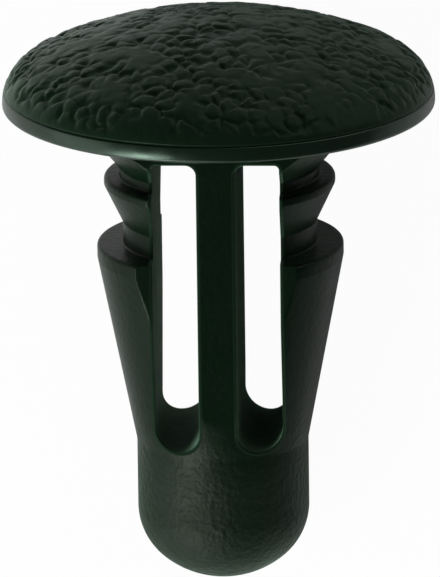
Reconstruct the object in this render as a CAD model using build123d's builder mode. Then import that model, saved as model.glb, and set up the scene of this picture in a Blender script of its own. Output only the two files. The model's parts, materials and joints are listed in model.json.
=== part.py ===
from build123d import *
import os
from math import asin, atan2, cos, degrees, hypot, sin

# A push rivet, moulded in one piece: a domed head on a toothed shank that two slots split
# into two legs and a web, so that the legs spring in as it is pushed through a hole.
# Sizes are in millimetres. Heights and depths are counted from the seat, the flat underside
# of the head's rim: the head is above it and the shank is below.

# Head
head_diameter = 18.0
head_height = 3.78
rim_height = 0.24
rim_rounding = 0.2
edge_arc_radius = 2.0

# Fine groove round the head, between its smooth rim and the grained dome
border_height = 0.72
border_groove_side = 0.1

# Flared root between the head and the shank
root_diameter = 12.4
root_length = 2.47
root_blend = 0.2

# Upper tooth and the neck above it
upper_neck_diameter = 8.4
upper_tooth_diameter = 9.64
upper_catch_depth = 2.92
upper_land = 0.35
upper_taper = 1.6

# Lower tooth, which is the shoulder of the legs, and the neck above it
lower_neck_diameter = 8.12
lower_neck_rounding = 0.3
shoulder_diameter = 10.28
lower_catch_depth = 5.82
shoulder_land = 0.6
shoulder_rounding = 0.4
tooth_rounding = 0.12

# Legs, and the blunt nose that joins them
nose_diameter = 7.18
nose_blend = 0.8
nose_edge_arc_radius = 2.8
nose_end_rise = 3.1
leg_length = 14.4
rivet_length = 20.4

# Flats at the front and back of the shank, and the two slots between the web and the legs
flat_width = 7.8
web_thickness = 1.6
web_root_rounding = 0.9
slot_width = 1.85
slot_top_depth = 1.55
slot_floor_depth = 14.15

head_radius = head_diameter / 2
root_radius = root_diameter / 2
upper_neck_radius = upper_neck_diameter / 2
upper_tooth_radius = upper_tooth_diameter / 2
upper_land_end = upper_catch_depth + upper_land
lower_neck_radius = lower_neck_diameter / 2
shoulder_radius = shoulder_diameter / 2
shoulder_land_end = lower_catch_depth + shoulder_land
nose_radius = nose_diameter / 2
nose_base_depth = rivet_length - nose_end_rise


def end_arc_radius(rise, edge_centre_radius, edge_radius):
    """Radius of the arc on the axis that meets a rounded edge smoothly and ends the rise."""
    return (rise**2 + edge_centre_radius**2 - edge_radius**2) / (2 * (rise - edge_radius))


def end_arc_angle(end_radius, edge_centre_radius, edge_radius):
    """Half the angle that the arc on the axis spans, in degrees."""
    return degrees(asin(edge_centre_radius / (end_radius - edge_radius)))


# The dome is a crown arc on the axis and an edge arc that stands upright at the rim.
edge_centre_radius = head_radius - edge_arc_radius
crown_radius = end_arc_radius(head_height - rim_height, edge_centre_radius, edge_arc_radius)
crown_angle = end_arc_angle(crown_radius, edge_centre_radius, edge_arc_radius)
crown_centre_height = head_height - crown_radius
border_angle = degrees(asin((border_height - rim_height) / edge_arc_radius))

# The nose ends the same way, the other way up.
nose_edge_centre_radius = nose_radius - nose_edge_arc_radius
nose_end_radius = end_arc_radius(nose_end_rise, nose_edge_centre_radius, nose_edge_arc_radius)
nose_end_angle = end_arc_angle(nose_end_radius, nose_edge_centre_radius, nose_edge_arc_radius)
nose_end_centre_depth = rivet_length - nose_end_radius

# The rivet lies on its side, on the rounding of its rim and on the edge arc of its nose. The
# line that touches both gives the lean of its axis, and their heights give the seat's place.
rim_centre_radius = head_radius - rim_rounding
radial_reach = rim_centre_radius - nose_edge_centre_radius
axial_reach = nose_base_depth + rim_rounding
arc_difference = nose_edge_arc_radius - rim_rounding
lean = atan2(radial_reach, axial_reach) - asin(arc_difference / hypot(radial_reach, axial_reach))
seat_above_floor = rim_rounding + rim_centre_radius * cos(lean) - rim_rounding * sin(lean)
nose_end = nose_end_centre_depth * cos(lean) + nose_end_radius
crown_end = crown_centre_height * cos(lean) + crown_radius
seat_centre = (0, (nose_end - crown_end) / 2, seat_above_floor)

# Middle plane: x across both legs, y along the axis. Seat plane: square to the axis.
middle_plane = Plane(origin=seat_centre, x_dir=(1, 0, 0), z_dir=(0, -sin(lean), cos(lean)))
seat_plane = Plane(origin=seat_centre, x_dir=(1, 0, 0), z_dir=(0, cos(lean), sin(lean)))
rivet_axis = Axis(origin=seat_centre, direction=(0, cos(lean), sin(lean)))

with BuildPart() as push_rivet:
    # Shank: one outline turned about the axis, from the flared root to the nose. The catches
    # that grip the panel are flat and stay sharp, and the slopes below them are blended.
    with BuildSketch(middle_plane):
        with BuildLine():
            sharp = 0
            teeth = FilletPolyline(
                (root_radius, 0),
                (upper_neck_radius, -root_length),
                (upper_neck_radius, -upper_catch_depth),
                (upper_tooth_radius, -upper_catch_depth),
                (upper_tooth_radius, -upper_land_end),
                (lower_neck_radius, -upper_land_end - upper_taper),
                (lower_neck_radius, -lower_catch_depth),
                (shoulder_radius, -lower_catch_depth),
                (shoulder_radius, -shoulder_land_end),
                (nose_radius, -leg_length),
                (nose_radius, -nose_base_depth),
                radius=[
                    root_blend,
                    sharp,
                    sharp,
                    tooth_rounding,
                    lower_neck_rounding,
                    sharp,
                    sharp,
                    shoulder_rounding,
                    nose_blend,
                ],
            )
            CenterArc(
                (nose_edge_centre_radius, -nose_base_depth),
                nose_edge_arc_radius,
                nose_end_angle - 90,
                90 - nose_end_angle,
            )
            nose_tip = CenterArc((0, -nose_end_centre_depth), nose_end_radius, -90, nose_end_angle)
            Polyline(nose_tip @ 0, (0, 0), teeth @ 0)
        make_face()
    revolve(axis=rivet_axis)

    # Flats: what stands proud of the front and back planes is cut away
    with BuildSketch(seat_plane):
        Rectangle(root_diameter, flat_width)
    extrude(amount=-rivet_length, mode=Mode.INTERSECT)

    # Two slots from front to back, each with a round floor and a rounded root at the web
    with BuildSketch(middle_plane):
        with BuildLine():
            web_side = web_thickness / 2
            leg_side = web_side + slot_width
            slot_middle = (web_side + leg_side) / 2
            slot_round_depth = slot_floor_depth - slot_width / 2
            Polyline(
                (web_side, -slot_round_depth),
                (web_side, -slot_top_depth),
                (leg_side, -slot_top_depth),
                (leg_side, -slot_round_depth),
            )
            CenterArc((slot_middle, -slot_round_depth), slot_width / 2, 0, -180)
        make_face()
        fillet(vertices().sort_by_distance((web_side, -slot_top_depth))[0], web_root_rounding)
        mirror(about=Plane.YZ)
    extrude(amount=flat_width, both=True, mode=Mode.SUBTRACT)

    # Head: rounded rim, edge arc and crown arc turned about the axis
    with BuildSketch(middle_plane):
        with BuildLine():
            rim_round = CenterArc((rim_centre_radius, rim_rounding), rim_rounding, -90, 90)
            Line(rim_round @ 1, (head_radius, rim_height))
            CenterArc((edge_centre_radius, rim_height), edge_arc_radius, 0, 90 - crown_angle)
            crown_arc = CenterArc((0, crown_centre_height), crown_radius, 90 - crown_angle, crown_angle)
            Polyline(crown_arc @ 1, (0, 0), rim_round @ 0)
        make_face()
    revolve(axis=rivet_axis)

    # Fine groove where the grain of the dome begins: a square sunk into the edge arc on its corner
    with BuildSketch(middle_plane):
        with Locations((edge_centre_radius, rim_height)):
            with PolarLocations(edge_arc_radius, 1, start_angle=border_angle):
                Rectangle(border_groove_side, border_groove_side, rotation=45)
    revolve(axis=rivet_axis, mode=Mode.SUBTRACT)

push_rivet.part.label = "push_rivet"
os.makedirs("parts", exist_ok=True)
export_step(push_rivet.part, "parts/push_rivet.step")
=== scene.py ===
# %% [markdown]
# # A plastic push rivet
# A push rivet holds a trim panel: its toothed shank is pushed through a hole, the legs spring
# in and out again, and the domed head stays outside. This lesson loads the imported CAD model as
# a fixed frame and lays finely rounded surfaces over its one solid. They get four finishes of
# the same dark plastic: satin on the shank, dull in its slots, smooth on the rim, and grained
# like leather on the dome.

# %% Load the frame
import json

import bpy
import numpy as np
from mathutils import Matrix, Vector


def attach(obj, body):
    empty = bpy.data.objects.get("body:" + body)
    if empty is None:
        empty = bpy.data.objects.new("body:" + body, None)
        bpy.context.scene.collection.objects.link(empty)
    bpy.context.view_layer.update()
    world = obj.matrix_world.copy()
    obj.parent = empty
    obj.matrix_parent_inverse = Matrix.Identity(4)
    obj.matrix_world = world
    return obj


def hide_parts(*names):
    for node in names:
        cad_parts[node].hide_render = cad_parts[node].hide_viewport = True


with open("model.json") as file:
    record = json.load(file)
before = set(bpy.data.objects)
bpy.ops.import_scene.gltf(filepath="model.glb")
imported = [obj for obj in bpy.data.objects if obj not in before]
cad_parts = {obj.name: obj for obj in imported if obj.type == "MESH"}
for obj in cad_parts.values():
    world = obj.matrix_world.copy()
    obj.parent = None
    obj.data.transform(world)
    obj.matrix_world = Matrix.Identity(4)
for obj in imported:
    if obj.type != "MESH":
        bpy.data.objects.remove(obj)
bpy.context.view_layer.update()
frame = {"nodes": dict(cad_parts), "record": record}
print("CAD nodes:", sorted(frame["nodes"]))

# %% [markdown]
# The rivet lies on the rounding of its rim and on its nose, so its own axis leans. Everything
# below is worked out in the rivet's own directions, in millimetres: x across both legs, height
# along the axis from the seat (the head's underside) towards the dome, and front, the way the
# slots face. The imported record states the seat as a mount, so the lean is read from there.

# %% Directions of the rivet
MM = 0.001
seat_mount = next(m for m in frame["record"]["mounts"] if m["name"] == "head_seat")
seat = np.array(seat_mount["pos_m"]) * (0, 1, 1)
across = np.array((1.0, 0.0, 0.0))
upward = -np.array(seat_mount["axis"])
frontward = np.cross(across, upward)


def place(x, height, front):
    """Points in the frame: the seat, plus x across, plus height up the axis, plus front forwards."""
    x, height, front = (np.asarray(v, float)[..., None] for v in (x, height, front))
    return seat + MM * (x * across + height * upward + front * frontward)


print("lean", round(float(np.degrees(np.arcsin(upward[2]))), 2), "degrees")
print("seat", np.round(seat / MM, 3), "mm")

# %% [markdown]
# The camera comes first, because every piece is judged through it. It looks almost straight
# down at the rivet as it lies there, so three angles about the rivet's own directions say where
# it stands: above the front, a little to the right, and rolled by less than a degree.

# %% Directions of the picture
CAMERA_ABOVE_FRONT = 16.6
CAMERA_TO_THE_RIGHT = 3.0
CAMERA_ROLL = 0.75

above, aside, roll = np.radians((CAMERA_ABOVE_FRONT, CAMERA_TO_THE_RIGHT, CAMERA_ROLL))
level_aside = np.sin(aside) * across + np.cos(aside) * frontward
towards_camera = np.cos(above) * level_aside + np.sin(above) * upward
level_up = upward - (upward @ towards_camera) * towards_camera
level_up /= np.linalg.norm(level_up)
level_right = np.cross(level_up, towards_camera)
picture_right = np.cos(roll) * level_right - np.sin(roll) * level_up
picture_up = np.sin(roll) * level_right + np.cos(roll) * level_up
print("the camera stands towards", np.round(towards_camera, 3))

# %% [markdown]
# Close by, with a short lens, the camera would make the near parts swell. So it stands half a
# metre off with a long lens, and the shape hardly shrinks with distance. The picture is 440
# pixels wide and 577 high. One point of the axis is put on one pixel, and the lens follows from
# how many pixels a millimetre takes up.

# %% Camera
PICTURE = (440, 577)
CAMERA_DISTANCE = 500.0
AIM_HEIGHT = -7.771
AIM_PIXEL = (221.0, 284.0)
PIXELS_PER_MM = 24.06

seat_distance = CAMERA_DISTANCE + AIM_HEIGHT * np.sin(above)
off_right = (PICTURE[0] / 2 - AIM_PIXEL[0]) / PIXELS_PER_MM
off_up = (AIM_PIXEL[1] - PICTURE[1] / 2) / PIXELS_PER_MM
from_aim = CAMERA_DISTANCE * towards_camera + off_right * picture_right + off_up * picture_up
eye = seat + MM * (AIM_HEIGHT * upward + from_aim)

camera_data = bpy.data.cameras.new("camera")
camera_data.lens = PIXELS_PER_MM * seat_distance / max(PICTURE) * camera_data.sensor_width
camera = bpy.data.objects.new("camera", camera_data)
camera_axes = Matrix([picture_right, picture_up, towards_camera]).transposed().to_4x4()
camera.matrix_world = Matrix.Translation(Vector(eye)) @ camera_axes
bpy.context.scene.collection.objects.link(camera)
bpy.context.scene.camera = camera
print("lens", round(camera_data.lens, 1), "mm, eye", np.round(eye, 4))

# %% [markdown]
# The rivet lies on a pale floor that shows as white and still takes a soft shadow. Brighter
# lamps could burn the floor out to white, but they would burn out the rivet too. Instead a
# Light Path node tells camera rays from all others: the camera sees mostly plain white, while
# the rivet is lit by, and reflects, an ordinary pale floor.

# %% Floor
FLOOR_REACH = 1.5
FLOOR_COLOUR = (0.8, 0.8, 0.8, 1.0)
FLOOR_WHITE_SHARE = 0.965


def white_to_camera(tree, usual, white, white_share):
    """A mix of two shaders: camera rays see the white one, by its share, and all others the usual."""
    light_path = tree.nodes.new("ShaderNodeLightPath")
    share = tree.nodes.new("ShaderNodeMath")
    share.operation = "MULTIPLY"
    share.inputs[1].default_value = white_share
    mix = tree.nodes.new("ShaderNodeMixShader")
    tree.links.new(light_path.outputs["Is Camera Ray"], share.inputs[0])
    tree.links.new(share.outputs[0], mix.inputs[0])
    tree.links.new(usual.outputs[0], mix.inputs[1])
    tree.links.new(white.outputs[0], mix.inputs[2])
    return mix.outputs[0]


floor_material = bpy.data.materials.new("white_floor")
floor_material.use_nodes = True
tree = floor_material.node_tree
tree.nodes.clear()
paint = tree.nodes.new("ShaderNodeBsdfDiffuse")
paint.inputs["Color"].default_value = FLOOR_COLOUR
plain_white = tree.nodes.new("ShaderNodeEmission")
output = tree.nodes.new("ShaderNodeOutputMaterial")
shown = white_to_camera(tree, paint, plain_white, FLOOR_WHITE_SHARE)
tree.links.new(shown, output.inputs["Surface"])

floor_corners = FLOOR_REACH * np.array([(-1, -1, 0), (1, -1, 0), (1, 1, 0), (-1, 1, 0)], float)
floor_mesh = bpy.data.meshes.new("floor")
floor_mesh.from_pydata(floor_corners.tolist(), [], [(0, 1, 2, 3)])
floor_mesh.materials.append(floor_material)
floor = bpy.data.objects.new("floor", floor_mesh)
bpy.context.scene.collection.objects.link(floor)
print("floor", 2 * FLOOR_REACH, "m wide")

# %% [markdown]
# The surroundings stand for the walls of a pale room. They are made the same way: white to the
# camera and dim to every other ray, so that no side of the rivet goes quite black, and yet the
# lamps alone draw its shape.

# %% Surroundings
SURROUND_STRENGTH = 0.125
WHITE = (1, 1, 1, 1)

world = bpy.data.worlds.new("soft_surround")
world.use_nodes = True
bpy.context.scene.world = world
tree = world.node_tree
tree.nodes.clear()
dim = tree.nodes.new("ShaderNodeBackground")
dim.inputs["Color"].default_value = WHITE
dim.inputs["Strength"].default_value = SURROUND_STRENGTH
bright = tree.nodes.new("ShaderNodeBackground")
bright.inputs["Color"].default_value = WHITE
output = tree.nodes.new("ShaderNodeOutputWorld")
tree.links.new(white_to_camera(tree, dim, bright, 1), output.inputs["Surface"])
bpy.context.scene.view_settings.view_transform = "Standard"
print("surround strength", SURROUND_STRENGTH)

# %% [markdown]
# Soft area lamps light the rivet. They are placed by two angles about the rivet's own axis: the
# turn from straight in front (left is negative) and the rise towards the dome. The tall lamp is
# the main light, and the wide one behind it lights the left flank. The small one shows as a
# bright crescent in the smooth rim, the high one at the right gives the dome its other side, and
# the low one fills in the nose. No lamp stands near the middle plane, where the flat web and the
# front of the dome would mirror it.

# %% Lamps
LAMP_DISTANCE = 0.16
LAMPS = {
    "tall_left": dict(turn=-44, rise=-35, width=0.058, height=0.150, power=0.20),
    "small_left": dict(turn=-35, rise=-16, width=0.050, height=0.040, power=0.08),
    "wide_left": dict(turn=-80, rise=-20, width=0.160, height=0.160, power=0.13),
    "high_right": dict(turn=100, rise=55, width=0.200, height=0.200, power=0.14),
    "low_front": dict(turn=-35, rise=-56, width=0.130, height=0.050, power=0.05),
}
lamp_target = Vector(place(0, AIM_HEIGHT, 0))
for lamp_name, lamp in LAMPS.items():
    turn, rise = np.radians((lamp["turn"], lamp["rise"]))
    level = np.sin(turn) * across + np.cos(turn) * frontward
    direction = np.cos(rise) * level + np.sin(rise) * upward
    sideways = np.cross(upward, direction) / np.linalg.norm(np.cross(upward, direction))
    facing = Matrix([sideways, np.cross(direction, sideways), direction]).transposed().to_4x4()
    lamp_data = bpy.data.lights.new(lamp_name, "AREA")
    lamp_data.shape = "RECTANGLE"
    lamp_data.size = lamp["width"]
    lamp_data.size_y = lamp["height"]
    lamp_data.energy = lamp["power"]
    lamp_object = bpy.data.objects.new(lamp_name, lamp_data)
    lamp_place = lamp_target + Vector(direction * LAMP_DISTANCE)
    lamp_object.matrix_world = Matrix.Translation(lamp_place) @ facing
    bpy.context.scene.collection.objects.link(lamp_object)
    print("lamp", lamp_name, lamp["power"], "W from", np.round(direction, 2))

# %% [markdown]
# ## From grids to pieces
# Every surface below is a grid of points worked out as whole numpy arrays. Grids that touch
# share the very same points along their common edge, so a piece is closed simply by laying its
# grids side by side and merging the doubles. A row or column that shrinks to one point, such as
# a pole, turns its quads into triangles in the same step.

# %% Grids and pieces
import bmesh

WELD_DISTANCE = 1e-6


def rivet_grid(x, depth, front):
    """Grid of points (rows, columns, 3), from x across, depth below the seat and front forwards."""
    x, depth, front = np.broadcast_arrays(x, depth, front)
    return place(x, -depth, front)


def grid_quads(rows, columns, first):
    """Corners of the quads of a grid whose points are numbered row by row from `first`."""
    number = first + np.arange(rows * columns).reshape(rows, columns)
    corners = [number[:-1, :-1], number[1:, :-1], number[1:, 1:], number[:-1, 1:]]
    return np.stack(corners, axis=-1).reshape(-1, 4)


def make_piece(name, grids, materials):
    """One closed mesh object, riding on the rivet, from (grid, turned over, material number) entries."""
    points, quads, material_numbers, first = [], [], [], 0
    for grid, turned_over, material_number in grids:
        rows, columns = grid.shape[:2]
        faces = grid_quads(rows, columns, first)
        quads.append(faces[:, ::-1] if turned_over else faces)
        material_numbers.append(np.full(len(faces), material_number))
        points.append(grid.reshape(-1, 3))
        first += rows * columns
    mesh = bpy.data.meshes.new(name)
    mesh.from_pydata(np.concatenate(points).tolist(), [], np.concatenate(quads).tolist())
    mesh.polygons.foreach_set("material_index", np.concatenate(material_numbers))
    welded = bmesh.new()
    welded.from_mesh(mesh)
    bmesh.ops.remove_doubles(welded, verts=welded.verts, dist=WELD_DISTANCE)
    open_edges = sum(edge.is_boundary for edge in welded.edges)
    volume = welded.calc_volume(signed=True) / MM**3
    welded.to_mesh(mesh)
    welded.free()
    mesh.shade_smooth()
    for material in materials:
        mesh.materials.append(material)
    piece = bpy.data.objects.new(name, mesh)
    bpy.context.scene.collection.objects.link(piece)
    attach(piece, "root")
    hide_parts("push_rivet")
    triangles = sum(len(polygon.vertices) - 2 for polygon in mesh.polygons)
    print(name, triangles, "triangles,", open_edges, "open edges, volume", round(volume, 1), "mm3")
    return piece


print("a grid of 3 rows and 4 columns has", len(grid_quads(3, 4, 0)), "quads")

# %% [markdown]
# ## The outline of the shank
# Seen from the side the shank is one outline turned about the axis: a flared root, a neck, a
# tooth, a second neck, the shoulder, and the long cone of the legs down to the nose. It is
# written as corners of radius and depth, and every corner is rounded by an arc, because a
# moulding has no razor edges and it is the rounded edges that catch the light. The catch faces
# slope by a hair, so that each depth has one radius.

# %% Outline of the shank
OUTLINE_STEP = 0.12
ARC_POINTS = 6
SHANK_TOP = -0.3
CATCH_SLOPE = 0.03
SHANK_CORNERS = np.array([
    # radius, depth, rounding
    (6.20, SHANK_TOP, 0.0),
    (6.20, 0.0, 0.0),
    (4.20, 2.47, 0.2),
    (4.20, 2.92, 0.06),
    (4.82, 2.92 + CATCH_SLOPE, 0.16),
    (4.82, 3.27, 0.14),
    (4.06, 4.87, 0.3),
    (4.06, 5.82, 0.06),
    (5.14, 5.82 + CATCH_SLOPE, 0.14),
    (5.14, 6.42, 0.4),
    (3.59, 14.40, 0.8),
    (3.59, 17.30, 0.0),
])


def corner_arc(before, corner, after, rounding):
    """Points of the arc that rounds a corner, or the sharp corner alone.

    The arc's centre lies on the line that halves the corner's angle, at the rounding over the
    sine of half the angle. The arc starts where it touches the run from the point before, at
    the rounding over the tangent of half the angle.
    """
    if rounding == 0:
        return corner[None]
    to_before = (before - corner) / np.linalg.norm(before - corner)
    to_after = (after - corner) / np.linalg.norm(after - corner)
    half_angle = np.arccos(to_before @ to_after) / 2
    middle = (to_before + to_after) / np.linalg.norm(to_before + to_after)
    centre = corner + middle * rounding / np.sin(half_angle)
    arm = corner + to_before * rounding / np.tan(half_angle) - centre
    side = -(to_before - (to_before @ arm) * arm / rounding**2)
    side *= rounding / np.linalg.norm(side)
    swing = np.linspace(0, np.pi - 2 * half_angle, ARC_POINTS)[:, None]
    return centre + np.cos(swing) * arm + np.sin(swing) * side


def divided(points, step):
    """The same path with every run divided into equal steps no longer than `step`."""
    path = []
    for start, end in zip(points[:-1], points[1:]):
        count = int(np.ceil(np.linalg.norm(end - start) / step))
        path.append(np.linspace(start, end, count, endpoint=False))
    return np.concatenate([*path, points[-1:]])


corners, roundings = SHANK_CORNERS[:, :2], SHANK_CORNERS[:, 2]
inner = range(1, len(corners) - 1)
arcs = [corner_arc(corners[i - 1], corners[i], corners[i + 1], roundings[i]) for i in inner]
outline = divided(np.concatenate([corners[:1], *arcs, corners[-1:]]), OUTLINE_STEP)
smallest_step = round(float(np.diff(outline[:, 1]).min()), 4)
print("outline:", len(outline), "points, smallest step down", smallest_step, "mm")


def radius_at(depth):
    """Radius of the outline at a depth, read between its points."""
    return np.interp(depth, outline[:, 1], outline[:, 0])


# %% [markdown]
# ## Flats and slots
# The front and back of the shank are flat: the circle of the outline is cut off at 3.9 mm. Two
# slots run through from front to back and leave a web in the middle and a leg on each side. The
# smaller of circle and flat is taken everywhere, eased where the two meet, so one formula gives
# the teeth, the flats and the fading of the flats into the round nose.

# %% Cross-section of the shank
FLAT_DEPTH = 3.9
FLAT_EASING = 0.025
SHOULDER_RADIUS = 5.14


def eased_least(a, b, easing):
    """The smaller of two values; where they differ by less than `easing`, a parabola joins them."""
    share = np.clip(0.5 + 0.5 * (b - a) / easing, 0, 1)
    return b + (a - b) * share - easing * share * (1 - share)


def smooth_step(value, start, end):
    """0 before the start, 1 after the end, and the S-curve 3t² − 2t³ between them."""
    t = np.clip((value - start) / (end - start), 0, 1)
    return t * t * (3 - 2 * t)


def reach_forward(x, radius):
    """Front of the cross-section at x: the circle of the radius, or the flat where that is less."""
    return eased_least(np.sqrt(np.maximum(radius**2 - x**2, 0)), FLAT_DEPTH, FLAT_EASING)


test_x = np.array([0, 3, 4])
print("front of the shoulder at x", test_x, "is", np.round(reach_forward(test_x, SHOULDER_RADIUS), 3))

# %% [markdown]
# A slot could be cut out with a Boolean, but that leaves thin stray triangles that shade badly
# along its edges. So each slot is described once, by its wall seen from the front: up the web,
# round the root of the web, along the top, down the leg and round the floor. The same formula
# moved out by the rounding of the edge gives the line where the rounding meets the front face,
# and both have the same number of points, so they can be joined point to point.

# %% Outline of a slot
WEB_HALF = 0.8
SLOT_WIDTH = 1.85
SLOT_TOP = 1.55
SLOT_ROUND_DEPTH = 13.225
WEB_ROOT_ROUNDING = 0.45
LEG_ROOT_ROUNDING = 0.2
LEG_SIDE = WEB_HALF + SLOT_WIDTH
SLOT_MIDDLE = WEB_HALF + SLOT_WIDTH / 2
WEB_ROOT_DEPTH = SLOT_TOP + WEB_ROOT_ROUNDING
LEG_ROOT_DEPTH = SLOT_TOP + LEG_ROOT_ROUNDING
LEAST_ROW_GAP = 0.02
WEB_ROW_COUNT = 61
ROOT_POINTS = 10
TOP_POINTS = 7
FLOOR_POINTS = 25

outline_depths = outline[:, 1]
below_root = outline_depths > LEG_ROOT_DEPTH + LEAST_ROW_GAP
above_floor = outline_depths < SLOT_ROUND_DEPTH - LEAST_ROW_GAP
beside_slot = outline_depths[below_root & above_floor]
leg_depths = np.concatenate([[LEG_ROOT_DEPTH], beside_slot, [SLOT_ROUND_DEPTH]])
web_depths = np.linspace(WEB_ROOT_DEPTH, SLOT_ROUND_DEPTH, WEB_ROW_COUNT)


def slot_top_line(outwards):
    """x and depth along the top of a slot, from web to leg, moved outwards from its wall.

    Its two roots are quarter circles: radius times the sine one way, times the cosine the other.
    """
    angle = np.linspace(0, np.pi / 2, ROOT_POINTS)
    sine, cosine = np.sin(angle), np.cos(angle)
    web_x = WEB_HALF - outwards + (1 - cosine) * (WEB_ROOT_ROUNDING + outwards)
    web_depth = WEB_ROOT_DEPTH - sine * (WEB_ROOT_ROUNDING + outwards)
    leg_x = LEG_SIDE - LEG_ROOT_ROUNDING + sine * (LEG_ROOT_ROUNDING + outwards)
    leg_depth = LEG_ROOT_DEPTH - cosine * (LEG_ROOT_ROUNDING + outwards)
    along_x = np.linspace(web_x[-1], leg_x[0], TOP_POINTS)[1:-1]
    along_depth = np.full(len(along_x), SLOT_TOP - outwards)
    x = np.concatenate([web_x, along_x, leg_x])
    return x, np.concatenate([web_depth, along_depth, leg_depth])


def slot_floor_line(outwards):
    """x and depth round the floor of a slot, a half circle from web to leg, moved outwards."""
    angle = np.linspace(0, np.pi, FLOOR_POINTS)
    reach = SLOT_WIDTH / 2 + outwards
    return SLOT_MIDDLE - reach * np.cos(angle), SLOT_ROUND_DEPTH + reach * np.sin(angle)


def slot_loop(outwards):
    """x and depth of a whole slot as one closed line: web upwards, top, leg downwards, floor back."""
    web = np.full(len(web_depths), WEB_HALF - outwards), web_depths[::-1]
    top = slot_top_line(outwards)
    leg = np.full(len(leg_depths), LEG_SIDE + outwards), leg_depths
    floor_x, floor_depth = slot_floor_line(outwards)
    x = np.concatenate([web[0], top[0][1:], leg[0][1:], floor_x[::-1][1:]])
    depth = np.concatenate([web[1], top[1][1:], leg[1][1:], floor_depth[::-1][1:]])
    return x, depth


print("slot outline:", len(slot_loop(0)[0]), "points")

# %% [markdown]
# ## Front and back faces
# Four kinds of grid make a face: the web, the patch above a slot, the patch below it, and the
# leg. A patch's columns hang from the slot's outline, so its rows fan out from a straight line
# to the curve, and no point has to be cut or moved.

# %% Web and patches
EDGE_ROUNDING = 0.14
FLOOR_END = 14.85
TOP_ROWS = np.linspace(0, 1, 29)[:, None]
FLOOR_ROWS = np.linspace(0, 1, 21)[:, None]
WEB_COLUMN_COUNT = 29
web_columns = np.linspace(-1, 1, WEB_COLUMN_COUNT) * (WEB_HALF - EDGE_ROUNDING)


def joined_depths(face_depths):
    """Depth rows of a column: down to the slot's top, alongside the slot, and below it."""
    upper = SHANK_TOP + TOP_ROWS[:, 0] * (face_depths[0] - SHANK_TOP)
    lower = SLOT_ROUND_DEPTH + FLOOR_ROWS[:, 0] * (FLOOR_END - SLOT_ROUND_DEPTH)
    return np.concatenate([upper, face_depths[1:], lower[1:]])


def web_face(side):
    """The web's front (side 1) or back (side -1)."""
    depth = joined_depths(web_depths)[:, None]
    return rivet_grid(web_columns, depth, side * reach_forward(web_columns, radius_at(depth)))


def patch_above(hand, side):
    """Front or back face above the slot on the right (hand 1) or left (hand -1)."""
    x, end_depth = slot_top_line(EDGE_ROUNDING)
    depth = SHANK_TOP + TOP_ROWS * (end_depth - SHANK_TOP)
    return rivet_grid(hand * x, depth, side * reach_forward(x, radius_at(depth)))


def patch_below(hand, side):
    """Front or back face below a slot, from its round edge down to a level line."""
    x, start_depth = slot_floor_line(EDGE_ROUNDING)
    depth = start_depth + FLOOR_ROWS * (FLOOR_END - start_depth)
    return rivet_grid(hand * x, depth, side * reach_forward(x, radius_at(depth)))


print("web grid", web_face(1).shape[:2], "patch above", patch_above(1, 1).shape[:2])

# %% [markdown]
# The legs are the springs of the rivet, and their outside carries the teeth. A leg's columns run
# from the slot's front edge round the outside to its back edge, as angles about the axis. One
# column is kept on the crease where flat meets cone, so that the crease stays crisp.

# %% Legs
LEG_INNER_X = LEG_SIDE + EDGE_ROUNDING
LEAST_FLAT_ANGLE = 0.1
FLAT_STEPS = 11
OUTSIDE_STEPS = 61
EVEN_SHARE = 0.3
CROWDED_SHARE = 0.7


def leg_angles(radius):
    """Angles about the axis of a leg's columns, from the slot's front edge round to its back edge.

    The first stretch is the flat, up to the angle whose sine is flat depth over radius. The
    second goes round the outside: a share of even steps and a share of cosine steps put its
    columns closer together near both creases.
    """
    edge = np.arccos(LEG_INNER_X / radius)
    crease = np.arcsin(np.minimum(FLAT_DEPTH / radius, 1))
    crease = np.minimum(crease, edge - LEAST_FLAT_ANGLE)
    flat = edge + (crease - edge) * np.sin(np.linspace(0, np.pi / 2, FLAT_STEPS)[:-1])
    t = np.linspace(0, 1, OUTSIDE_STEPS)
    outside = crease * (EVEN_SHARE * (1 - 2 * t) + CROWDED_SHARE * np.cos(np.pi * t))
    return np.concatenate([flat, outside, -flat[:, ::-1]], axis=1)


def leg_face(hand):
    """A leg's outside: front flat, round side with its teeth, and back flat."""
    depth = joined_depths(leg_depths)[:, None]
    radius = radius_at(depth)
    angle = leg_angles(radius)
    x = radius * np.cos(angle)
    front = np.sign(angle) * reach_forward(x, radius)
    return rivet_grid(hand * x, depth, front)


print("leg grid", leg_face(1).shape[:2])

# %% [markdown]
# ## Slot walls
# A slot wall runs straight from the front face to the back face. At both ends its edge is
# rounded: a parabola starts on the face, is drawn towards the sharp corner and ends on the
# wall. A Bevel modifier would do the same, but it would have to guess its way round the teeth.
# Five rows lie across the flat wall, the outer two close behind the roundings, and keep their
# soft shading out of it.

# %% Slot wall grid
ROUNDING_STEPS = np.linspace(0, 1, 6)[:, None]
WALL_SUPPORT = 0.12
INNER_ROWS = np.array([[1], [0.5], [0], [-0.5], [-1]])


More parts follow.
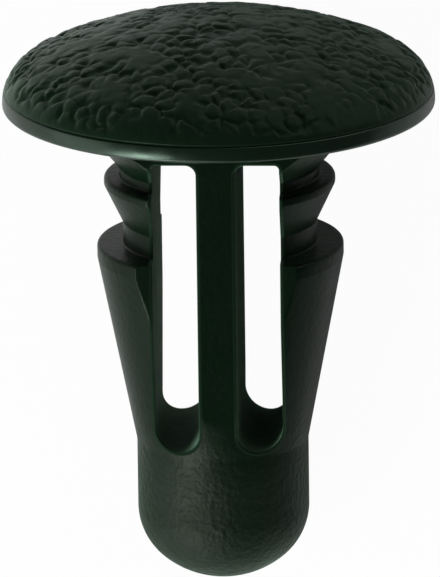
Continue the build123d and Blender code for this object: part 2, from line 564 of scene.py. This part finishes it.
def slot_wall(hand):
    """The wall round a slot, from the rounding of its front edge to that of its back edge.

    A rounding is a parabola between three points: (1 − q)² of the one on the face, 2q(1 − q)
    of the sharp corner and q² of the one on the wall.
    """
    face_x, face_depth = slot_loop(EDGE_ROUNDING)
    wall_x, wall_depth = slot_loop(0)
    face_front = reach_forward(face_x, radius_at(face_depth))
    corner_front = reach_forward(wall_x, radius_at(wall_depth))
    wall_front = corner_front - EDGE_ROUNDING
    q = ROUNDING_STEPS
    from_face, from_corner, from_wall = (1 - q) ** 2, 2 * q * (1 - q), q**2
    x = from_face * face_x + (from_corner + from_wall) * wall_x
    depth = from_face * face_depth + (from_corner + from_wall) * wall_depth
    front = from_face * face_front + from_corner * corner_front + from_wall * wall_front
    inner_x = np.tile(wall_x, (len(INNER_ROWS), 1))
    inner_depth = np.tile(wall_depth, (len(INNER_ROWS), 1))
    inner_front = (wall_front - WALL_SUPPORT) * INNER_ROWS
    x = np.concatenate([x, inner_x, x[::-1]])
    depth = np.concatenate([depth, inner_depth, depth[::-1]])
    return rivet_grid(hand * x, depth, np.concatenate([front, inner_front, -front[::-1]]))


print("slot wall grid", slot_wall(1).shape[:2])

# %% [markdown]
# ## Nose
# Below the slots the shank is whole and ends in a blunt nose, which finds the hole. Its profile
# is a straight side, an edge arc and a flat end arc. Where the two arcs meet they have one
# direction, and with that the end arc follows from how far the nose reaches below its base.

# %% Profile of the nose
NOSE_RADIUS = 3.59
NOSE_BASE_DEPTH = 17.3
NOSE_EDGE_ARC = 2.8
NOSE_END_RISE = 3.1
NOSE_EDGE_CENTRE = NOSE_RADIUS - NOSE_EDGE_ARC
end_squares = NOSE_END_RISE**2 + NOSE_EDGE_CENTRE**2 - NOSE_EDGE_ARC**2
NOSE_END_ARC = end_squares / (2 * (NOSE_END_RISE - NOSE_EDGE_ARC))
NOSE_END_ANGLE = np.arcsin(NOSE_EDGE_CENTRE / (NOSE_END_ARC - NOSE_EDGE_ARC))
NOSE_END_CENTRE = NOSE_BASE_DEPTH + NOSE_END_RISE - NOSE_END_ARC
SIDE_ROWS = 43
EDGE_ROWS = 37
END_ROWS = 33


def nose_rows():
    """Radius and depth down the nose: a straight side, the edge arc, and the end arc to the axis.

    On an arc the radius is its centre's plus its own times the cosine (edge) or the sine (end).
    """
    side = np.linspace(FLOOR_END, NOSE_BASE_DEPTH, SIDE_ROWS)
    edge = np.linspace(0, np.pi / 2 - NOSE_END_ANGLE, EDGE_ROWS)[1:]
    end = np.linspace(NOSE_END_ANGLE, 0, END_ROWS)[1:]
    edge_radius = NOSE_EDGE_CENTRE + NOSE_EDGE_ARC * np.cos(edge)
    edge_depth = NOSE_BASE_DEPTH + NOSE_EDGE_ARC * np.sin(edge)
    end_depth = NOSE_END_CENTRE + NOSE_END_ARC * np.cos(end)
    radius = np.concatenate([np.full(SIDE_ROWS, NOSE_RADIUS), edge_radius, NOSE_END_ARC * np.sin(end)])
    depth = np.concatenate([side, edge_depth, end_depth])
    return radius[:, None], depth[:, None]


print("the nose ends at a depth of", round(float(nose_rows()[1][-1, 0]), 2), "mm")

# %% [markdown]
# One ring of points is collected from the lowest rows of all the face grids and carried down
# the profile to a pole on the axis, so the nose joins the legs without a seam. Its front carries
# a low oval mark, as a mould pin leaves it. The mark could be a bump, but it catches the light
# at its edge, so it swells the ring outwards by about a hundredth of a millimetre.

# %% Nose grid
MARK_DEPTH = 16.65
MARK_HALF_WIDTH = 0.42
MARK_HALF_HEIGHT = 0.78
MARK_LINE = 0.2
MARK_RISE = 0.012


def shank_ring():
    """x and front of the closed ring below the slots, once round from the front of the web."""
    below_x = slot_floor_line(EDGE_ROUNDING)[0]
    angle = leg_angles(np.array([[NOSE_RADIUS]]))[0]
    right_x = np.concatenate([below_x[1:], NOSE_RADIUS * np.cos(angle)[1:], below_x[::-1][1:]])
    right_front = np.concatenate([
        reach_forward(below_x[1:], NOSE_RADIUS),
        NOSE_RADIUS * np.sin(angle)[1:],
        -reach_forward(below_x[::-1][1:], NOSE_RADIUS),
    ])
    web_front = reach_forward(web_columns, NOSE_RADIUS)
    back_x, back_front = web_columns[::-1][1:], -web_front[::-1][1:]
    x = np.concatenate([web_columns, right_x, back_x, -right_x[::-1], web_columns[:1]])
    front = np.concatenate([web_front, right_front, back_front, right_front[::-1], web_front[:1]])
    return x, front


def oval_mark(x, depth):
    """Height of the mark, a hump along an oval line: rise × e to the −(2 × distance / line width)²."""
    away = np.hypot(x / MARK_HALF_WIDTH, (depth - MARK_DEPTH) / MARK_HALF_HEIGHT)
    from_line = (away - 1) * np.sqrt(MARK_HALF_WIDTH * MARK_HALF_HEIGHT)
    return MARK_RISE * np.exp(-((2 * from_line / MARK_LINE) ** 2))


def nose():
    """The nose, as the ring scaled row by row to the outline's radius, with the mark on its front."""
    ring_x, ring_front = shank_ring()
    radius, depth = nose_rows()
    scale = radius / NOSE_RADIUS
    x, front = ring_x * scale, ring_front * scale
    swell = 1 + np.where(ring_front > 0, oval_mark(x, depth), 0) / NOSE_RADIUS
    return rivet_grid(x * swell, depth, front * swell)


print("nose grid", nose().shape[:2])

# %% [markdown]
# ## The shank as one list of grids
# Inside the head a flat cover closes the shank, so that it is a closed piece of its own. Then
# all its grids are listed once. The left half is the right one mirrored, and a mirrored grid is
# turned over, so that its faces still point outwards. The slot walls get the second finish of
# the piece: blades of the mould form the slots, and they are left duller than the rest.

# %% Build the shank
def shank_top():
    """A flat cover inside the head, from the ring of the face grids' first rows to the axis."""
    tops = [web_face(1), patch_above(1, 1), leg_face(1), patch_above(1, -1)[:, ::-1]]
    tops += [web_face(-1)[:, ::-1], patch_above(-1, -1), leg_face(-1)[:, ::-1]]
    tops += [patch_above(-1, 1)[:, ::-1]]
    ring = np.concatenate([grid[0] for grid in tops])
    return np.stack([np.broadcast_to(place(0, -SHANK_TOP, 0), ring.shape), ring])


def shank_grids():
    """Every grid of the shank, as (grid, turned over, material number) entries."""
    grids = [(web_face(1), False, 0), (web_face(-1), True, 0)]
    grids += [(nose(), False, 0), (shank_top(), False, 0)]
    for hand in (1, -1):
        grids += [(leg_face(hand), hand < 0, 0), (slot_wall(hand), hand < 0, 1)]
        for side in (1, -1):
            turned_over = hand * side < 0
            grids += [(patch_above(hand, side), turned_over, 0)]
            grids += [(patch_below(hand, side), turned_over, 0)]
    return grids


print("the shank has", len(shank_grids()), "grids")

# %% [markdown]
# ## Head: the smooth rim
# The head is made as two pieces that meet in the fine groove round it: a smooth rim with the
# underside, and the grained dome. The rim's profile goes along the underside, round the lower
# edge, up a short band and the start of the arc that leads over to the dome, and down the lower
# bank of the groove.

# %% Profile of the rim
HEAD_RADIUS = 9.0
RIM_ROUNDING = 0.2
RIM_HEIGHT = 0.24
EDGE_ARC = 2.0
EDGE_CENTRE = HEAD_RADIUS - EDGE_ARC
BORDER_HEIGHT = 0.72
BORDER_ANGLE = np.arcsin((BORDER_HEIGHT - RIM_HEIGHT) / EDGE_ARC)
GROOVE_HALF_WIDTH = 0.07
GROOVE_DEPTH = 0.06
BANK_REACH = 1.2
BANK_ANGLE = BANK_REACH * GROOVE_HALF_WIDTH / EDGE_ARC
UNDERSIDE_RADII = [0, 5, 8, 8.6]
INSIDE_RADII = [8, 0]
CORNER_POINTS = 9
BAND_POINTS = 8
BANK_POINTS = 7


def bank(away):
    """Depth of the groove's bank at an angle away from its middle.

    It is the groove's depth times 1 − the S-curve of the way along the arc over the half width.
    """
    return GROOVE_DEPTH * (1 - smooth_step(np.abs(away) * EDGE_ARC, 0, GROOVE_HALF_WIDTH))


def rim_profile():
    """Radius and height: out along the underside, up to the bottom of the groove, back inside.

    On the edge arc the radius is its centre's plus the reach times the cosine of the angle, and
    the height is the rim's plus the reach times the sine. The bank makes the reach less.
    """
    corner = np.linspace(-np.pi / 2, 0, CORNER_POINTS)
    corner_radius = HEAD_RADIUS - RIM_ROUNDING + RIM_ROUNDING * np.cos(corner)
    corner_height = RIM_ROUNDING + RIM_ROUNDING * np.sin(corner)
    band = np.linspace(0, BORDER_ANGLE - BANK_ANGLE, BAND_POINTS)[:-1]
    angle = np.linspace(BORDER_ANGLE - BANK_ANGLE, BORDER_ANGLE, BANK_POINTS)
    angle = np.concatenate([band, angle])
    reach = EDGE_ARC - bank(angle - BORDER_ANGLE)
    arc_radius = EDGE_CENTRE + reach * np.cos(angle)
    arc_height = RIM_HEIGHT + reach * np.sin(angle)
    underside_height = [0] * len(UNDERSIDE_RADII)
    inside_height = [arc_height[-1]] * len(INSIDE_RADII)
    radius = np.concatenate([UNDERSIDE_RADII, corner_radius, arc_radius, INSIDE_RADII])
    height = np.concatenate([underside_height, corner_height, arc_height, inside_height])
    return radius, height


print("rim profile:", len(rim_profile()[0]), "points")

# %% [markdown]
# A Screw modifier could turn the profile about the axis. Here the turning is one line of sine
# and cosine, and the last column is the first again, so the ring closes on the very same points.

# %% Rim grid
RIM_COLUMNS = 600


def turned(profile_radius, profile_height, columns):
    """A profile carried round the axis: x is radius × sine, front is radius × cosine of the turn."""
    turn = np.linspace(0, 2 * np.pi, columns + 1)
    turn[-1] = 0
    radius, height = np.asarray(profile_radius)[:, None], np.asarray(profile_height)[:, None]
    return rivet_grid(radius * np.sin(turn), -height, radius * np.cos(turn))


print("rim grid", turned(*rim_profile(), RIM_COLUMNS).shape[:2])

# %% [markdown]
# ## Head: the grained dome
# The dome carries a moulded leather grain: pebbles about two thirds of a millimetre across,
# parted by narrow crooked valleys that run deep in one place and fade in the next. A pattern of
# cells gives the pebbles. Each point of the dome measures its distance to the nearest three of
# some hundreds of scattered seeds: where the first two are equally far a valley runs, and where
# the third is as near too, valleys meet in a knot.

# %% Noise and cells
LATTICE = 64
PARTS = 64


def smooth_noise(u, v, cell, seed):
    """Noise between -1 and 1: random values on a square lattice, with the S-curve between them."""
    lattice = np.random.default_rng(seed).uniform(-1, 1, (LATTICE, LATTICE))
    column, row = u / cell + LATTICE / 2, v / cell + LATTICE / 2
    i, j = np.floor(column).astype(int), np.floor(row).astype(int)
    s, t = smooth_step(column - i, 0, 1), smooth_step(row - j, 0, 1)
    i, j, i_next, j_next = i % LATTICE, j % LATTICE, (i + 1) % LATTICE, (j + 1) % LATTICE
    low = lattice[i, j] * (1 - s) + lattice[i_next, j] * s
    high = lattice[i, j_next] * (1 - s) + lattice[i_next, j_next] * s
    return low * (1 - t) + high * t


def scattered_seeds(spacing, reach, seed):
    """Seeds over a disc: a square net of points, each moved at random by up to half its spacing."""
    rng = np.random.default_rng(seed)
    line = np.arange(-reach, reach + spacing, spacing)
    net = np.stack(np.meshgrid(line, line), axis=-1).reshape(-1, 2)
    net += rng.uniform(-0.5, 0.5, net.shape) * spacing
    return net[np.hypot(*net.T) < reach]


def nearest_seeds(u, v, seeds):
    """Distances from each point to the nearest of the seeds, the second nearest and the third.

    The points are taken in parts, so that the table of all distances stays small.
    """
    points = np.stack([u, v], axis=-1).reshape(-1, 2)
    nearest = []
    for part in np.array_split(points, PARTS):
        distance = np.hypot(part[:, None, 0] - seeds[:, 0], part[:, None, 1] - seeds[:, 1])
        nearest.append(np.partition(distance, (1, 2), axis=1)[:, :3])
    return np.moveaxis(np.concatenate(nearest).reshape(*u.shape, 3), -1, 0)


test_seeds = np.array([(0, 0), (1, 0), (0, 2)])
test_distances = nearest_seeds(np.array([0.4]), np.array([0.0]), test_seeds)
print("from one point to three seeds:", np.round(test_distances.ravel(), 2))

# %% [markdown]
# The depth of the grain is a sum of such layers. A Bump node could draw them as mere shading,
# but the real grain breaks the outline of the dome and shades itself, so here it is shape. The
# points are first pushed about by smooth noise, so that no valley is straight, and another
# noise lets the valleys run deep in one place and fade in the next.

# %% Leather grain
GRAIN_SPACING = 0.66
GRAIN_REACH = 11.0
GRAIN_SEED = 11
VALLEY_WIDTH = 0.32
VALLEY_DEPTH = 0.044
KNOT_WIDTH = 0.48
KNOT_DEPTH = 0.088
PUSH = 0.16
PUSH_SIZE = 0.7
PUSH_SEEDS = (21, 23)
STRENGTH_MIDDLE = 0.60
STRENGTH_SWING = 0.9
STRENGTH_LIMITS = (0.05, 1.1)
STRENGTH_SIZE = 1.1
STRENGTH_SEED = 25
SWELL_DEPTH = 0.030
SWELL_SIZE = 0.55
SWELL_SEED = 26
PIT_SHARE = 0.2
PIT_SIZE = 0.22
PIT_SEED = 27


def push(u, v, seed):
    """How far points are pushed: a broad noise, and a fine one of half its push and half its size."""
    broad = PUSH * smooth_noise(u, v, PUSH_SIZE, seed)
    return broad + PUSH / 2 * smooth_noise(u, v, PUSH_SIZE / 2, seed + 1)


def grain_depth(u, v):
    """Depth of the grain below the dome's smooth surface, at places measured along the surface.

    It is strength × (valley + knot) + swell. A valley runs where the nearest and the second
    nearest seed are almost equally far, and it deepens to a pit at the knots, where the third
    is as near too. A gentle swell and fine pits cover the pebbles between them.
    """
    seeds = scattered_seeds(GRAIN_SPACING, GRAIN_REACH, GRAIN_SEED)
    pushed_u, pushed_v = u + push(u, v, PUSH_SEEDS[0]), v + push(u, v, PUSH_SEEDS[1])
    first, second, third = nearest_seeds(pushed_u, pushed_v, seeds)
    valley = VALLEY_DEPTH * (1 - smooth_step(second - first, 0, VALLEY_WIDTH))
    knot = KNOT_DEPTH * (1 - smooth_step(third - first, 0, KNOT_WIDTH))
    strength_noise = smooth_noise(u + v, u - v, STRENGTH_SIZE, STRENGTH_SEED)
    strength = np.clip(STRENGTH_MIDDLE + STRENGTH_SWING * strength_noise, *STRENGTH_LIMITS)
    swell = 0.5 + 0.5 * smooth_noise(u, v, SWELL_SIZE, SWELL_SEED)
    pits = 0.5 + 0.5 * smooth_noise(u, v, PIT_SIZE, PIT_SEED)
    return strength * (valley + knot) + SWELL_DEPTH * (swell + PIT_SHARE * pits)


test_u = np.linspace(-6, 6, 400)
test_depth = grain_depth(test_u, np.zeros(len(test_u)))
print("grain depth along a line, mean and most:", np.round((test_depth.mean(), test_depth.max()), 3))

# %% [markdown]
# The dome is a crown arc about the axis and an edge arc that stands upright at the rim. Its
# profile is told by length along the surface, because the grain is spread by that length: told
# by radius, the pebbles would be stretched where the dome falls away.

# %% Profile of the dome
HEAD_HEIGHT = 3.78
CROWN_RADIUS = 18.679
CROWN_ANGLE = np.radians(24.815)
CROWN_LENGTH = CROWN_RADIUS * CROWN_ANGLE
DOME_EDGE = BORDER_ANGLE + BANK_ANGLE
DOME_REACH = CROWN_LENGTH + EDGE_ARC * (np.pi / 2 - CROWN_ANGLE - DOME_EDGE)


def dome_profile(length):
    """Radius, height and lean of the surface at a length along the dome from its pole.

    Up to the crown's end the arc about the crown's centre is followed, and then the edge arc;
    the lean is the angle between the surface's own upright and the axis.
    """
    on_edge = length > CROWN_LENGTH
    edge_lean = CROWN_ANGLE + (length - CROWN_LENGTH) / EDGE_ARC
    lean = np.where(on_edge, edge_lean, length / CROWN_RADIUS)
    edge_radius = EDGE_CENTRE + EDGE_ARC * np.sin(lean)
    edge_height = RIM_HEIGHT + EDGE_ARC * np.cos(lean)
    crown_height = HEAD_HEIGHT - CROWN_RADIUS + CROWN_RADIUS * np.cos(lean)
    radius = np.where(on_edge, edge_radius, CROWN_RADIUS * np.sin(lean))
    return radius, np.where(on_edge, edge_height, crown_height), lean


print("from the pole to the edge of the dome:", round(float(DOME_REACH), 3), "mm")

# %% [markdown]
# A turned grid would crowd its points at the pole and part them at the rim, and the grain would
# look coarser there. So a square grid is bent into a disc, with cells of much the same size
# everywhere, and laid over the dome. The grain fades out before the groove, where the mould is
# smooth again.

# %% Dome grids
DOME_CELLS = 284
GRAIN_FADE = 0.60


def square_to_disc(cells):
    """Share of the radius and turn of a square grid bent into a disc.

    Each square ring becomes a circle: its share is the larger of |a| and |b|, and its turn goes
    in step with the smaller over the larger, an eighth of a turn for each half side.
    """
    line = np.linspace(-1, 1, cells + 1)
    a, b = np.meshgrid(line, line)
    share = np.maximum(np.abs(a), np.abs(b))
    sideways = np.abs(a) > np.abs(b)
    across_ratio = b / np.where(sideways, a, 1)
    along_ratio = a / np.where(sideways | (b == 0), 1, b)
    turn = np.where(sideways, across_ratio * np.pi / 4, np.pi / 2 - along_ratio * np.pi / 4)
    turn = np.where(np.where(sideways, a, b) < 0, turn + np.pi, turn)
    return share, turn


def dome_top():
    """The grained surface: the smooth dome, sunk along its own upright by the grain's depth."""
    share, turn = square_to_disc(DOME_CELLS)
    length = share * DOME_REACH
    radius, height, lean = dome_profile(length)
    u, v = length * np.cos(turn), length * np.sin(turn)
    sunk = grain_depth(u, v) * smooth_step(DOME_REACH - length, 0, GRAIN_FADE)
    radius, height = radius - sunk * np.sin(lean), height - sunk * np.cos(lean)
    return rivet_grid(radius * np.cos(turn), -height, radius * np.sin(turn))


def dome_border(top):
    """From the dome's lowest circle down the upper bank of the groove, and back inside to the axis."""
    circle = np.concatenate([top[0, :-1], top[:-1, -1], top[-1, :0:-1], top[:0:-1, 0], top[0, :1]])
    turn = np.arctan2((circle - seat) @ frontward, (circle - seat) @ across)
    angle = np.linspace(DOME_EDGE, BORDER_ANGLE, BANK_POINTS)[1:]
    reach = EDGE_ARC - bank(angle - BORDER_ANGLE)
    arc_height = RIM_HEIGHT + reach * np.sin(angle)
    radius = np.concatenate([EDGE_CENTRE + reach * np.cos(angle), INSIDE_RADII])[:, None]
    height = np.concatenate([arc_height, [arc_height[-1]] * len(INSIDE_RADII)])[:, None]
    rows = rivet_grid(radius * np.cos(turn), -height, radius * np.sin(turn))
    return np.concatenate([circle[None], rows])


print("dome grid:", DOME_CELLS, "cells each way")

# %% [markdown]
# ## Dark plastic, four finishes
# The whole rivet is one moulding in one greenish black plastic. The finishes differ only in how
# the mould was made: plain on the shank, and calmer above the nose than on it, dull in the
# slots, smooth at the rim and etched on the dome. One flat colour would look like paint, so each
# material is a small tree of nodes on Object coordinates, turned upright with the rivet and
# counted in millimetres. These helpers make its branches.

# %% Helpers for a finish
TURN_UPRIGHT = np.pi / 2 - np.arcsin(upward[2])
SEAT_UPRIGHT = Matrix.Rotation(TURN_UPRIGHT, 3, "X") @ Vector(seat / MM)


def upright_coordinates(tree):
    """Object coordinates in millimetres, turned upright and counted from the seat."""
    coordinates = tree.nodes.new("ShaderNodeTexCoord")
    upright = tree.nodes.new("ShaderNodeMapping")
    upright.inputs["Scale"].default_value = (1 / MM, 1 / MM, 1 / MM)
    upright.inputs["Rotation"].default_value = (TURN_UPRIGHT, 0, 0)
    upright.inputs["Location"].default_value = -SEAT_UPRIGHT
    tree.links.new(coordinates.outputs["Object"], upright.inputs["Vector"])
    return upright.outputs["Vector"]


def noise(tree, coordinates, size, detail):
    """Noise whose features are about `size` millimetres across."""
    node = tree.nodes.new("ShaderNodeTexNoise")
    node.inputs["Scale"].default_value = 1 / size
    node.inputs["Detail"].default_value = detail
    tree.links.new(coordinates, node.inputs["Vector"])
    return node.outputs["Fac"]


def ranged(tree, value, from_range, to_range):
    """The value carried from one range into another, held at its ends."""
    node = tree.nodes.new("ShaderNodeMapRange")
    sockets = ("From Min", "From Max", "To Min", "To Max")
    for socket, number in zip(sockets, (*from_range, *to_range)):
        node.inputs[socket].default_value = number
    tree.links.new(value, node.inputs["Value"])
    return node.outputs["Result"]


def product(tree, first, second):
    """A plain number or a value, multiplied by a value."""
    node = tree.nodes.new("ShaderNodeMath")
    node.operation = "MULTIPLY"
    if isinstance(first, float):
        node.inputs[0].default_value = first
    else:
        tree.links.new(first, node.inputs[0])
    tree.links.new(second, node.inputs[1])
    return node.outputs[0]


print("the patterns are turned upright by", round(float(np.degrees(TURN_UPRIGHT)), 2), "degrees")

# %% [markdown]
# Slow noise changes the colour and the roughness a little from place to place, and two layers
# of fine noise raise a bump, because even a plain moulding is never a perfect mirror. Specular
# IOR Level sets how much the surface mirrors, and Specular Tint makes that gloss a little green.
# Sheen stands for the haze that a fine rough surface shows at a slant. Where the nose differs
# from the legs, a share that changes with height fades one value into the other.

# %% One finish
GREEN_HAZE = (0.58, 1.0, 0.68, 1.0)
CALM_END = (-13.4, -15.8)
COLOUR_PATCHES = (2.5, 3)
ROUGH_PATCHES = (1.1, 4)
NOISE_MIDDLE = (0.3, 0.7)
BUMP_DETAIL = 1


def set_level(tree, socket, height, above_nose, on_nose):
    """Set a socket to one value, or to that value times a share that changes on the nose."""
    socket.default_value = above_nose
    if above_nose != on_nose:
        share = ranged(tree, height, CALM_END, (1, on_nose / above_nose))
        tree.links.new(product(tree, above_nose, share), socket)


def moulded_plastic(name, colours, tint, gloss, haze, roughness, calm_share, waves, grains):
    """One finish of the plastic, as a tree of nodes.

    The colours are the darkest and the lightest, and the tint is the colour of the gloss. Gloss
    and haze are each (above the nose, on the nose) and roughness is (least, most); waves and
    grains are each the (size, height) of a layer of bumps in millimetres. Above the nose the
    roughness shrinks to calm_share of itself, and the bumps to the square of that.
    """
    material = bpy.data.materials.new(name)
    material.use_nodes = True
    tree = material.node_tree
    shader = tree.nodes["Principled BSDF"]
    shader.inputs["Specular Tint"].default_value = tint
    shader.inputs["Sheen Tint"].default_value = GREEN_HAZE
    coordinates = upright_coordinates(tree)
    parts = tree.nodes.new("ShaderNodeSeparateXYZ")
    tree.links.new(coordinates, parts.inputs[0])
    height = parts.outputs["Z"]
    set_level(tree, shader.inputs["Specular IOR Level"], height, *gloss)
    set_level(tree, shader.inputs["Sheen Weight"], height, *haze)

    colour = tree.nodes.new("ShaderNodeMix")
    colour.data_type = "RGBA"
    colour.inputs["A"].default_value, colour.inputs["B"].default_value = colours
    tree.links.new(noise(tree, coordinates, *COLOUR_PATCHES), colour.inputs["Factor"])
    tree.links.new(colour.outputs["Result"], shader.inputs["Base Color"])

    rough = ranged(tree, noise(tree, coordinates, *ROUGH_PATCHES), NOISE_MIDDLE, roughness)
    if calm_share != 1:
        rough = product(tree, rough, ranged(tree, height, CALM_END, (calm_share, 1)))
    tree.links.new(rough, shader.inputs["Roughness"])

    bumps = None
    for size, rise in (waves, grains):
        bump = tree.nodes.new("ShaderNodeBump")
        bump.inputs["Distance"].default_value = rise * MM
        set_level(tree, bump.inputs["Strength"], height, calm_share**2, 1)
        tree.links.new(noise(tree, coordinates, size, BUMP_DETAIL), bump.inputs["Height"])
        if bumps:
            tree.links.new(bumps, bump.inputs["Normal"])
        bumps = bump.outputs["Normal"]
    tree.links.new(bumps, shader.inputs["Normal"])
    print("finish", name, "with", len(tree.nodes), "nodes")
    return material


print("the shank's finish changes between heights of", *CALM_END, "mm")

# %% [markdown]
# The four finishes are written side by side, so that they are easy to compare. The plain one
# has a paler gloss and coarse waves, as a mould that was only filed smooth leaves them. The dull
# one hardly mirrors at all, the polished one mirrors most, and the grained one lies between,
# because its gloss breaks up on the pebbles.

# %% Plastic finishes
SMOOTH_COLOURS = ((0.0006, 0.0048, 0.0016, 1.0), (0.0014, 0.0082, 0.0032, 1.0))
GRAINED_COLOURS = ((0.0018, 0.0078, 0.0031, 1.0), (0.0036, 0.0118, 0.0053, 1.0))
PALE_GLOSS = (0.90, 1.0, 0.86, 1.0)
GREEN_GLOSS = (0.70, 1.0, 0.80, 1.0)
FINISHES = {
    "plain_plastic": dict(
        colours=SMOOTH_COLOURS,
        tint=PALE_GLOSS,
        gloss=(0.09, 0.16),
        haze=(0.03, 0.09),
        roughness=(0.50, 0.60),
        calm_share=0.55,
        waves=(0.28, 0.050),
        grains=(0.13, 0.020),
    ),
    "dull_plastic": dict(
        colours=GRAINED_COLOURS,
        tint=GREEN_GLOSS,
        gloss=(0.004, 0.004),
        haze=(0.28, 0.28),
        roughness=(0.45, 0.60),
        calm_share=1,
        waves=(0.50, 0.020),
        grains=(0.14, 0.004),
    ),
    "polished_plastic": dict(
        colours=SMOOTH_COLOURS,
        tint=GREEN_GLOSS,
        gloss=(0.45, 0.45),
        haze=(0.02, 0.02),
        roughness=(0.21, 0.27),
        calm_share=1,
        waves=(0.90, 0.012),
        grains=(0.12, 0.001),
    ),
    "grained_plastic": dict(
        colours=GRAINED_COLOURS,
        tint=GREEN_GLOSS,
        gloss=(0.07, 0.07),
        haze=(0.14, 0.14),
        roughness=(0.26, 0.34),
        calm_share=1,
        waves=(0.40, 0.010),
        grains=(0.14, 0.006),
    ),
}
finishes = {name: moulded_plastic(name, **values) for name, values in FINISHES.items()}

# %% [markdown]
# ## The three pieces
# Each piece is welded from its grids and given its finishes. It says which body it rides on,
# and the CAD solid is hidden now but still there for the physics.

# %% Build the pieces
shank_finishes = [finishes["plain_plastic"], finishes["dull_plastic"]]
make_piece("rivet_shank", shank_grids(), shank_finishes)
rim_grid = turned(*rim_profile(), RIM_COLUMNS)
make_piece("rivet_rim", [(rim_grid, True, 0)], [finishes["polished_plastic"]])
top = dome_top()
dome_grids = [(top, False, 0), (dome_border(top), True, 0)]
make_piece("rivet_dome", dome_grids, [finishes["grained_plastic"]])
